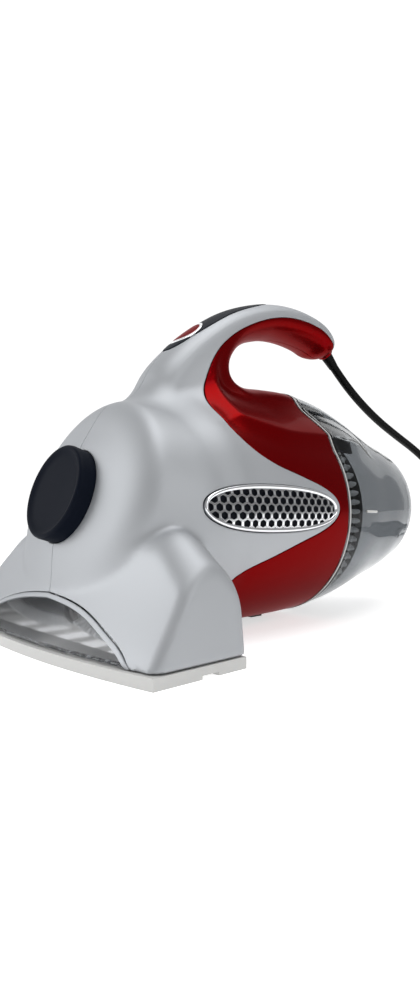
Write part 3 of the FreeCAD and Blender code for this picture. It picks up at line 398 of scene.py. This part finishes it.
def shell(skin, thick, edge, lift=0.0):
    """A skin with thickness and rounded rims."""
    rows, faces = skin
    points, normal = rows[:, :3], rows[:, 3:]
    normal = normal / np.maximum(np.linalg.norm(normal, axis=1, keepdims=True), 1e-9)
    points = points + normal * lift
    size = len(points)
    pairs = np.vstack([faces[:, [0, 1]], faces[:, [1, 2]], faces[:, [2, 0]]])
    forward = pairs[:, 0] * size + pairs[:, 1]
    rim = pairs[~np.isin(forward, pairs[:, 1] * size + pairs[:, 0])]
    along = points[rim[:, 1]] - points[rim[:, 0]]
    away = np.cross(along, normal[rim[:, 0]] + normal[rim[:, 1]])
    out = np.zeros(points.shape)
    for k in range(2):
        np.add.at(out, rim[:, k], away)
    edge_rows = np.unique(rim)
    out = out[edge_rows]
    out /= np.maximum(np.linalg.norm(out, axis=1, keepdims=True), 1e-12)
    base, up = points[edge_rows], normal[edge_rows]
    rings = [base + out * edge * 0.7 - up * edge * 0.3, base + out * edge - up * edge,
             base + out * edge - up * thick]
    place = np.full(size, -1)
    place[edge_rows] = np.arange(len(edge_rows))
    m = len(edge_rows)
    levels = [rim] + [place[rim] + 2 * size + i * m for i in range(3)] + [rim + size]
    tris = [faces, faces[:, ::-1] + size]
    for top, low in zip(levels, levels[1:]):
        tris.append(np.stack([top[:, 1], top[:, 0], low[:, 0]], 1))
        tris.append(np.stack([top[:, 1], low[:, 0], low[:, 1]], 1))
    return np.vstack([points, points - normal * thick] + rings), np.vstack(tris)


GRID = 1.25
points, faces = surface(body_field, (-96, -4, 3.1), (96, 312, 216), GRID)
points = relaxed(points, faces, 3)
body_skin = (np.hstack([points, normals_of(points, faces)]), faces)

# ---------------------------------------------------------------- lines between the pieces, in side view
COLOUR_LINE = smooth_line([
    (76, -10), (79, 15), (84, 30), (92, 36), (112, 43.2), (130, 49.6), (149, 56), (160, 61.8), (164.6, 68.3),
    (161.5, 75), (151, 80.7), (132, 86.6), (115, 91.8), (102.5, 99), (95, 109), (93, 122), (96.5, 134),
    (103, 147), (110.5, 159), (119.5, 169), (133, 179.2), (149, 188), (166, 194.9), (184, 199.3), (203, 200.5),
    (220, 198.8), (232, 193.5), (246, 185)])
SILVER_SIDE = np.vstack([COLOUR_LINE, [(300, 184), (300, 260), (-50, 260), (-50, -10)]])
GAP, EDGE = 0.18, 0.35
SHELL = 2.2
RIDGE_TOP = 166.0  # above this height there is only the handle


def seam(z):
    """Station of the line between the red housing and the clear cup, at a height."""
    high, low = np.clip((z - 115.0) / 33.0, 0, 1), np.clip((30.0 - z) / 30.0, 0, 1)
    return 171.5 + 5.0 * (148.0 - z) / 147.0 + 13.0 * high * high + 4.0 * low * low


def silver_side(x, y, z):
    return inside(y, z, SILVER_SIDE) - GAP - EDGE


def red_side(x, y, z):
    return -inside(y, z, SILVER_SIDE) - GAP - EDGE


def before_seam(x, y, z):
    return np.where(z > RIDGE_TOP, 50.0, seam(z) - y) - EDGE


def behind_seam(x, y, z):
    return np.where(z > RIDGE_TOP, -50.0, y - seam(z)) - 0.5 - EDGE


HALF_GAP = 0.42


def right_half(x, y, z):
    return x - HALF_GAP


def left_half(x, y, z):
    return -x - HALF_GAP


def oval_inside(u, v, half_u, half_v, power):
    """Roughly the distance inside a rounded oval, from a place given in its half sizes."""
    f = (np.abs(u) ** power + np.abs(v) ** power) ** (1 / power)
    slope = np.hypot(u / half_u, v / half_v) / np.maximum(np.hypot(u, v), 1e-6)
    return (1 - f) / np.maximum(slope, 1e-6)


ARCH = natural([(0, 27.3), (22, 25.4), (42, 21.2), (59, 15.4), (72, 9.8), (78, 5.5), (86, -1)])


def window_inside(x, y, z):
    """Distance inside the window's arch on the nozzle's front."""
    low = (ARCH(np.abs(x)) - z) * 0.93
    return np.where((y < 34) & (z < 30), low, -20.0)


def window_cut(x, y, z):
    return -window_inside(x, y, z) - EDGE


BADGE = (110.5, 68.2, 51.2, 12.8)  # station, height and half sizes
BADGE_POWER = 2.3


def badge_inside(x, y, z):
    """Roughly the distance inside the badge's long oval."""
    u, v = (y - BADGE[0]) / BADGE[2], (z - BADGE[1]) / BADGE[3]
    return np.where(np.abs(x) > 40, oval_inside(u, v, BADGE[2], BADGE[3], BADGE_POWER), -20.0)


def badge_cut(x, y, z):
    return -badge_inside(x, y, z) - EDGE


def port_cut(x, y, z):
    s, r = port_place(x, y, z)
    return np.where(s < 20, r - 24.7, 5.0) - EDGE


TOP_MIDDLE = natural([(60, 110), (88, 140), (110, 160), (130, 180), (150, 192), (175, 199), (240, 200)])
PAD = (130.5, 43.0, 11.4)  # station and half sizes


def pad_inside(x, y, z):
    u, v = (y - PAD[0]) / PAD[1], x / PAD[2]
    return np.where(z > TOP_MIDDLE(y), oval_inside(u, v, PAD[1], PAD[2], 2.6), -20.0)


def pad_cut(x, y, z):
    return -pad_inside(x, y, z) - 0.12 - EDGE


GLAND = np.array([0.0, 241.0, 194.6])
GLAND_WAY = np.array([0.0, math.cos(math.radians(37)), -math.sin(math.radians(37))])


def gland_cut(x, y, z):
    p = np.stack([x, y, z], -1) - GLAND
    s = p @ GLAND_WAY
    r = np.linalg.norm(p - s[:, None] * GLAND_WAY, axis=1)
    return np.where(s > -12, r - 6.4, 5.0) - EDGE


def above_plate(x, y, z):
    return z - PLATE - 0.15 - EDGE


silver = clipped(body_skin, silver_side, before_seam, above_plate, window_cut, badge_cut, port_cut, pad_cut,
                 gland_cut)
red = clipped(body_skin, red_side, before_seam, above_plate, badge_cut, gland_cut)
HALVES = (("left", left_half), ("right", right_half))
for side, half in HALVES:
    build("silver_" + side, *shell(clipped(silver, half), SHELL, EDGE), "silver_shell",
          replaces=("front_housing_" + side,))
for side, half in HALVES:
    build("red_" + side, *shell(clipped(red, half), SHELL, EDGE), "red_shell",
          replaces=("rear_housing_" + side,))
spigot = [(158.0, 60.4), (178.6, 60.4), (178.6, 62.4), (178.2, 62.8), (158.0, 62.8)]
build("spigot", *lathe(spigot, (0, 0, AXIS_HEIGHT), (0, 1, 0)), "red_shell", replaces=("rear_housing_left",))

cup_skin = clipped(body_skin, behind_seam)
cup_rows = cup_skin[0].copy()
lip = np.clip((7.0 - (cup_rows[:, 1] - seam(cup_rows[:, 2]))) / 1.6, 0, 1)
cup_rows[:, :3] += cup_rows[:, 3:] * (0.35 * lip)[:, None]
# the cup takes the darker clear tint, painted shade for its dark insides
build("clear_cup", *shell((cup_rows, cup_skin[1]), SHELL, EDGE), "clear_plastic", "cup", ("dust_cup",),
      finish=PAINTED_SHADE_CLEAR)

# light band along the cup's front edge: a painted highlight where the edge catches light
rim_highlight_band = clipped(body_skin, behind_seam, lambda x, y, z: seam(z) + 1.6 - y)
build("cup_edge", *shell(rim_highlight_band, 0.8, 0.2, lift=0.5), "plate_plastic", "cup", ("dust_cup",))
REFLECTION_SHEET_FOOT, REFLECTION_SHEET_BACK = 106.0, 206.0  # height and station where the dark sheet inside the cup's raised top ends; the sheet is a painted dark reflection
# a dark sheet just inside the clear raised top of the cup: painted dark reflection, which makes the clear
# plastic there read black
dark_reflection_sheet = clipped(body_skin, lambda x, y, z: z - REFLECTION_SHEET_FOOT,
               lambda x, y, z: np.where(z > RIDGE_TOP, -50.0, y - seam(z)) - 2.5,
               lambda x, y, z: REFLECTION_SHEET_BACK + 0.25 * (z - 130.0) - y)
build("latch_housing", *shell(dark_reflection_sheet, 1.4, 0.3, lift=-2.5), "dark_plastic", "cup", ("dust_cup",))
PLEATS = 64
fins = []
for i in range(PLEATS):
    turn = 2 * math.pi * i / PLEATS
    out = np.array([math.sin(turn), 0.0, math.cos(turn)])
    across = np.array([math.cos(turn), 0.0, -math.sin(turn)])
    near, far = [], []
    for radius, half in ((50.0, 1.7), (59.8, 1.45), (61.2, 0.7)):
        near.append(out * radius - across * half)
        far.insert(0, out * radius + across * half)
    fins.append(prism(*([p + np.array([0.0, y, AXIS_HEIGHT]) for p in near + far] for y in (181.2, 194.5))))
build("pleats", *join(fins), "paper", replaces=("pleated_filter",), sharp=30)
drum = [(178.7, 30.0), (178.7, 61.6), (179.1, 62.0), (180.5, 62.0), (181.0, 61.6), (181.0, 51.0), (195.0, 51.0),
        (195.0, 58.5), (196.0, 59.5), (200.0, 59.5), (202.0, 57.5), (214.0, 47.0), (214.0, 30.0)]
build("filter_drum", *lathe(drum, (0, 0, AXIS_HEIGHT), (0, 1, 0)), "dark_plastic",
      replaces=("filter_frame", "cup_gasket"))

# ---------------------------------------------------------------- window and brush chamber
pane = clipped(body_skin, above_plate, lambda x, y, z: window_inside(x, y, z) - 2.0)
build("window_pane", *shell(pane, 1.6, 0.1, lift=-0.4), "clear_plastic", replaces=("nozzle_window",),
      finish=HAZY)
frame_band = clipped(body_skin, above_plate, lambda x, y, z: window_inside(x, y, z) - 0.7,
                     lambda x, y, z: 2.1 - window_inside(x, y, z))
build("window_rim", *shell(frame_band, 2.0, 0.3, lift=0.25), "silver_shell", replaces=("nozzle_window",))

ROLL = np.array([0.0, 38.0, 17.0])
liner = [(-84.0, 15.8), (-84.0, 16.8), (84.0, 16.8), (84.0, 15.8)]
LINER_STEPS = 24
liner_points = []
for i in range(LINER_STEPS + 1):
    lean = math.radians(-25.0 + 165.0 * i / LINER_STEPS)
    for across, radius in liner:
        liner_points.append((across, ROLL[1] + radius * math.cos(lean), ROLL[2] + radius * math.sin(lean)))
liner_faces = [(i * 4 + j, i * 4 + (j + 1) % 4, (i + 1) * 4 + (j + 1) % 4, (i + 1) * 4 + j)
               for i in range(LINER_STEPS) for j in range(4)]
liner_faces += [(3, 2, 1, 0), tuple(LINER_STEPS * 4 + j for j in range(4))]
build("chamber_liner", np.array(liner_points), liner_faces, "roll_plastic", replaces=("front_housing_left",))

# ---------------------------------------------------------------- port cap
PORT_AXIS = (0.0, math.cos(NOSE_UP), -math.sin(NOSE_UP))
cap_profile = [(2.2, 0.01), (1.9, 18.0), (1.2, 20.6), (0.3, 22.0), (0.0, 22.8), (0.25, 23.6), (0.9, 24.2),
               (2.0, 24.45), (9.8, 24.45), (9.8, 21.5), (18.0, 21.5), (18.0, 0.01)]
build("cap", *lathe(cap_profile, (0, PORT[0], PORT[1]), PORT_AXIS), "cap_plastic", "hose_cap", ("port_cap",))

# ---------------------------------------------------------------- grip pad, button and its bezel
pad = clipped(body_skin, lambda x, y, z: pad_inside(x, y, z) - 0.1 - EDGE)


LENS = (104.0, 8.6, 7.6)  # station and half sizes


def lens_inside(x, y, z):
    """Roughly the distance inside the button's oval."""
    u, v = (y - LENS[0]) / LENS[1], x / LENS[2]
    return np.where(z > TOP_MIDDLE(y), (1 - np.hypot(u, v)) * LENS[2], -20.0)


pad_main = clipped(pad, lambda x, y, z: -lens_inside(x, y, z) - 2.0)
build("pad", *shell(pad_main, 1.8, 0.4, lift=0.25), "pad_plastic", replaces=("grip_pad",))
bezel = clipped(body_skin, lambda x, y, z: lens_inside(x, y, z) + 1.2,
                lambda x, y, z: -lens_inside(x, y, z) - 0.1)
build("bezel", *shell(bezel, 2.0, 0.35, lift=0.55), "chrome_trim", replaces=("button_bezel",))
lens = clipped(body_skin, lambda x, y, z: lens_inside(x, y, z) - 0.4)
build("lens", *shell(lens, 2.0, 0.4, lift=0.5), "red_shell", "button", ("power_button",))


# ---------------------------------------------------------------- cord
def tube_object(name, points, radius, order):
    """Round tube along a NURBS line, fixed to the vacuum."""
    curve = bpy.data.curves.new(name, "CURVE")
    curve.dimensions = "3D"
    curve.bevel_depth = radius
    curve.bevel_resolution = 5
    curve.resolution_u = 10
    curve.use_fill_caps = True
    line = curve.splines.new("NURBS")
    line.points.add(len(points) - 1)
    for point, place in zip(line.points, metres(points)):
        point.co = (*place, 1.0)
    line.order_u = order
    line.use_endpoint_u = True
    curve.materials.append(SLOTS["cord_cover"])
    obj = bpy.data.objects.new(name, curve)
    bpy.context.scene.collection.objects.link(obj)
    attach(obj, "vacuum")
    return obj


# down from the handle's tip to the floor, round the coil, then over it in a hook to the plug
route = [(0, 242.6, 193.4), (0, 264, 177.3), (0, 290, 162), (0, 321, 148.6), (1, 354, 137.4), (2, 384, 128),
         (5, 410, 115), (8, 430, 95), (11, 443, 70), (14, 452, 45), (17, 463, 23), (20, 479, 9), (23, 499, 3.6)]
COIL, PER_TURN, TURNS, CORD = (80.9, 521.0), 24, 15.75, 6.6
LAPS, OUTER_LAP = 4, 55.9
for i in range(int(PER_TURN * TURNS) + 1):
    turn = i / PER_TURN
    whole, part = divmod(turn, 1.0)
    move = np.clip((part - 0.75) / 0.25, 0, 1)
    layer, lap = divmod(int(whole), LAPS)
    step_in = lap + (move if lap < LAPS - 1 else 0.0)
    radius = OUTER_LAP - CORD * (step_in if layer % 2 == 0 else LAPS - 1 - step_in)
    level = CORD / 2 + CORD * (layer + (move if lap == LAPS - 1 and layer < LAPS - 1 else 0.0))
    angle = math.pi - 2 * math.pi * turn
    route.append((COIL[0] + radius * math.cos(angle), COIL[1] + radius * math.sin(angle), level))
route += [(71, 464.2, 23.1), (62, 459, 21.8), (57, 449, 18.5), (59, 438, 15), (68, 431.5, 12), (79, 433, 10.2),
          (90, 441, 9), (98, 451, 8.3), (105, 459, 8), (112, 461, 8), (122.5, 461, 8)]
cord = tube_object("cord", route, CORD / 2 * 0.001, 3)
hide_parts("power_cord", "cord_coil")

# ---------------------------------------------------------------- heel foot
foot = [(-9, 0.0), (-9, 3.2), (-8, 4.2), (8, 4.2), (9, 3.2), (9, 0.0)]
build("heel_foot", *prism(*([(x, y, z) for x, z in foot] for y in (151.0, 161.0))), "rubber",
      replaces=("heel_pad",))

# ---------------------------------------------------------------- badge: rim and lattice on both sides
def side_surface(stations, heights):
    """Where the body's side is at those stations and heights, as points and outward normals."""
    low, high = np.full(len(stations), 30.0), np.full(len(stations), 90.0)
    for _ in range(16):
        middle = (low + high) / 2
        out = body_field(middle, stations, heights) > 0
        low, high = np.where(out, low, middle), np.where(out, middle, high)
    points = np.stack([(low + high) / 2, stations, heights], 1)
    base = body_field(*points.T)
    slope = np.stack([body_field(*(points + np.eye(3)[k] * 0.5).T) - base for k in range(3)], 1)
    return points, slope / np.linalg.norm(slope, axis=1, keepdims=True)


lug_at, _ = side_surface(np.array([196.0, 211.0]), np.array([AXIS_HEIGHT, AXIS_HEIGHT]))
lug_section = ((-1.0, -0.8), (0.5, -0.8), (0.8, 0.0), (0.5, 0.8), (-1.0, 0.8))
lug = [[p + (x, 0, z) for x, z in lug_section] for p in lug_at]
build("cup_mark", *prism(*lug), "plate_plastic", "cup", ("dust_cup",))


def oval_point(angle, grow):
    """Station and height on the badge's oval, grown by a width."""
    c, s = math.cos(angle), math.sin(angle)
    power = 2 / BADGE_POWER
    return (BADGE[0] + (BADGE[2] + grow) * math.copysign(abs(c) ** power, c),
            BADGE[1] + (BADGE[3] + grow) * math.copysign(abs(s) ** power, s))


RIM_PROFILE = [(-0.5, -1.8), (-0.5, 0.3), (-0.65, 0.75), (-1.2, 1.05), (-1.9, 0.95), (-2.5, 0.55), (-2.8, 0.0),
               (-2.8, -1.8)]
RIM_STEPS = 144
flat, lift = [], []
for i in range(RIM_STEPS):
    for grow, high in RIM_PROFILE:
        flat.append(oval_point(2 * math.pi * i / RIM_STEPS, grow))
        lift.append(high)
flat, lift = np.array(flat), np.array(lift)
on_side, away = side_surface(flat[:, 0], flat[:, 1])
rim_points = on_side + away * lift[:, None]
n = len(RIM_PROFILE)
rim_faces = [(i * n + j, i * n + (j + 1) % n, following * n + (j + 1) % n, following * n + j)
             for i in range(RIM_STEPS) for following in [(i + 1) % RIM_STEPS] for j in range(n)]


def mirrored(points, faces):
    return points * np.array([-1.0, 1.0, 1.0]), [tuple(reversed(f)) for f in faces]


CELL, ROW = 6.0, 3.9  # pitch of the lattice's holes
HOLE = (2.55, 1.95)
LATTICE_FRONT, LATTICE_BACK = 0.35, -1.1
tops, cell_faces, flat, lift = {}, [], [], []


def corner(u, v):
    """Index of a lattice corner, which neighbouring cells share."""
    key = (round(u, 2), round(v, 2))
    if key not in tops:
        tops[key] = len(flat)
        flat.append((u, v))
        lift.append(LATTICE_FRONT)
    return tops[key]


for row in range(-4, 5):
    for column in range(-9, 10):
        u = BADGE[0] + CELL * (column + 0.5 * (row % 2))
        v = BADGE[1] + ROW * row
        ring_out = [corner(u + CELL / 2 * a, v + ROW / 2 * b) for a, b in
                    ((1, -0.5), (1, 0.5), (0, 1.35), (-1, 0.5), (-1, -0.5), (0, -1.35))]
        ring_in, ring_low = [], []
        for k in range(6):
            angle = math.radians(60 * k - 30)
            place = (u + HOLE[0] * math.cos(angle), v + HOLE[1] * math.sin(angle) * 1.1)
            for ring, level in ((ring_in, LATTICE_FRONT), (ring_low, LATTICE_BACK)):
                ring.append(len(flat))
                flat.append(place)
                lift.append(level)
        for k in range(6):
            e = (k + 1) % 6
            cell_faces.append((ring_out[k], ring_out[e], ring_in[e], ring_in[k]))
            cell_faces.append((ring_in[k], ring_in[e], ring_low[e], ring_low[k]))
flat, lift = np.array(flat), np.array(lift)
cell_tris = np.array([t for a, b, c, d in cell_faces for t in ((a, b, c), (a, c, d))])
u, v = (flat[:, 0] - BADGE[0]) / (BADGE[2] - 2.4), (flat[:, 1] - BADGE[1]) / (BADGE[3] - 2.4)
reach = 1 - (np.abs(u) ** BADGE_POWER + np.abs(v) ** BADGE_POWER) ** (1 / BADGE_POWER)
cell_rows, cell_tris = clip((np.column_stack([flat, lift]), cell_tris), reach)
on_side, away = side_surface(cell_rows[:, 0], cell_rows[:, 1])
lattice = (on_side + away * cell_rows[:, 2:3], [tuple(t) for t in cell_tris])
backing = clipped(body_skin, lambda x, y, z: badge_inside(x, y, z) + 0.9)
for side, sign in (("left", -1), ("right", 1)):
    half = clip(backing, backing[0][:, 0] * sign - 30)
    build("badge_back_" + side, *shell(half, 0.8, 0.1, lift=-1.4), "dark_plastic",
          replaces=("vent_screen_" + side,))
    for name, piece in (("badge_rim_", (rim_points, rim_faces)), ("badge_lattice_", lattice)):
        piece = piece if sign > 0 else mirrored(*piece)
        build(name + side, *piece, "chrome_trim", replaces=("vent_grille_" + side,), sharp=50)

# ---------------------------------------------------------------- brush roll seen through the window
def rod_mesh(a, b, radius, steps):
    """Round rod from a to b."""
    along = np.subtract(b, a)
    length = float(np.linalg.norm(along))
    return lathe([(0.0, 0.01), (0.0, radius), (length, radius), (length, 0.01)], a, along, steps)


core = [(0.01, 0.01), (0.01, 7.5), (71.0, 7.5), (71.0, 9.6), (71.5, 10.0), (73.5, 10.0), (74.0, 9.6),
        (74.0, 7.5), (75.0, 7.5), (76.0, 6.5), (84.0, 6.5), (85.0, 7.5), (86.0, 7.5), (86.0, 9.6), (86.5, 10.0),
        (88.5, 10.0), (89.0, 9.6), (89.0, 7.5), (160.0, 7.5), (160.0, 0.01)]
build("roll_core", *lathe(core, ROLL - (80.0, 0.0, 0.0), (1, 0, 0), 48), "roll_plastic", "brush_roll",
      ("brush_core",))
TUFTS_A_SIDE, TUFT_PITCH, BELT_GAP = 24, 2.95, 3  # the tufts next to the middle make room for the belt
DEGREES_PER_MM = 18.0 / 7.0
tufts = []
for row in range(2):
    for i in range(-TUFTS_A_SIDE, TUFTS_A_SIDE + 1):
        if abs(i) < BELT_GAP:
            continue
        x = i * TUFT_PITCH
        lean = math.radians(DEGREES_PER_MM * x + 180.0 * row)
        way = np.array([0.0, math.cos(lean), math.sin(lean)])
        tufts.append(rod_mesh(ROLL + (x, 0, 0) + way * 6.5, ROLL + (x, 0, 0) + way * 14.1, 1.25, 8))
build("bristle_rows", *join(tufts), "bristle", "brush_roll", ("brush_bristles",))

# ---------------------------------------------------------------- knob and strain relief at the handle's tip
knob = [(-12.0, 0.01), (-12.0, 6.1), (5.6, 6.1), (6.8, 5.8), (7.6, 5.0), (8.0, 4.2), (8.0, 0.01)]
build("knob", *lathe(knob, GLAND, GLAND_WAY, 48), "red_shell", replaces=("cord_gland",))
relief = [(2.0, 0.01), (2.0, 4.3), (9.0, 4.3), (12.0, 4.1), (20.0, 3.5), (20.0, 0.01)]
build("relief", *lathe(relief, GLAND, GLAND_WAY, 32), "cord_cover", replaces=("cord_gland",))

# ---------------------------------------------------------------- frame pieces that stay as they are
subparts = frame["record"]["subparts"]
slot_of = {entry.get("node") or entry.get("name"): entry["material_slot"] for entry in subparts}
for name, obj in frame["nodes"].items():
    obj.data.materials.clear()
    obj.data.materials.append(SLOTS[slot_of[name]])
for name in ("base_plate", "cup_latch", "plug_body"):
    obj = frame["nodes"][name]
    bevel = obj.modifiers.new("bevel", "BEVEL")
    bevel.width = 0.0006
    bevel.segments = 3
    bevel.limit_method = "ANGLE"
    bevel.angle_limit = math.radians(40)

# ---------------------------------------------------------------- floor and lights
white = material("floor_white", (0.8, 0.8, 0.8), 0.0, 0.9, Emission_Color=(1.0, 1.0, 1.0, 1.0),
                 Emission_Strength=0.62)
bpy.ops.mesh.primitive_plane_add(size=14.0, location=(0.0, 0.0, 0.0))
floor = bpy.context.object
floor.name = "floor"
floor.data.materials.append(white)
card = material("backdrop_white", (0.0, 0.0, 0.0), 0.0, 1.0, Emission_Color=(1.0, 1.0, 1.0, 1.0),
                Emission_Strength=1.05)
bpy.ops.mesh.primitive_plane_add(size=9.0, location=(-2.9, 2.4, 3.0),
                                 rotation=(math.radians(90.0), 0.0, TURN))
backdrop = bpy.context.object
backdrop.name = "backdrop"
backdrop.data.materials.append(card)


def lamp(name, place, aim, size, power, tall=None):
    """Soft lamp turned to face a point."""
    light = bpy.data.lights.new(name, "AREA")
    light.shape = "RECTANGLE"
    light.size, light.size_y = size, tall or size
    light.energy = power
    obj = bpy.data.objects.new(name, light)
    bpy.context.scene.collection.objects.link(obj)
    obj.location = place
    obj.rotation_euler = (Vector(aim) - Vector(place)).to_track_quat("-Z", "Y").to_euler()
    return obj


lamp("overhead", (0.15, 0.1, 1.3), (0.0, 0.0, 0.05), 0.9, 8.0)
lamp("front_left", (-0.8, -1.0, 0.6), (0.0, -0.05, 0.1), 0.9, 8.0, 0.9)
lamp("side", (1.3, 0.2, 0.7), (0.0, 0.0, 0.1), 0.4, 2.5, 0.8)
world = bpy.data.worlds.new("studio")
bpy.context.scene.world = world
world.use_nodes = True
world.node_tree.nodes["Background"].inputs["Color"].default_value = (1.0, 1.0, 1.0, 1.0)
world.node_tree.nodes["Background"].inputs["Strength"].default_value = 0.36
bpy.context.scene.view_settings.view_transform = "Standard"
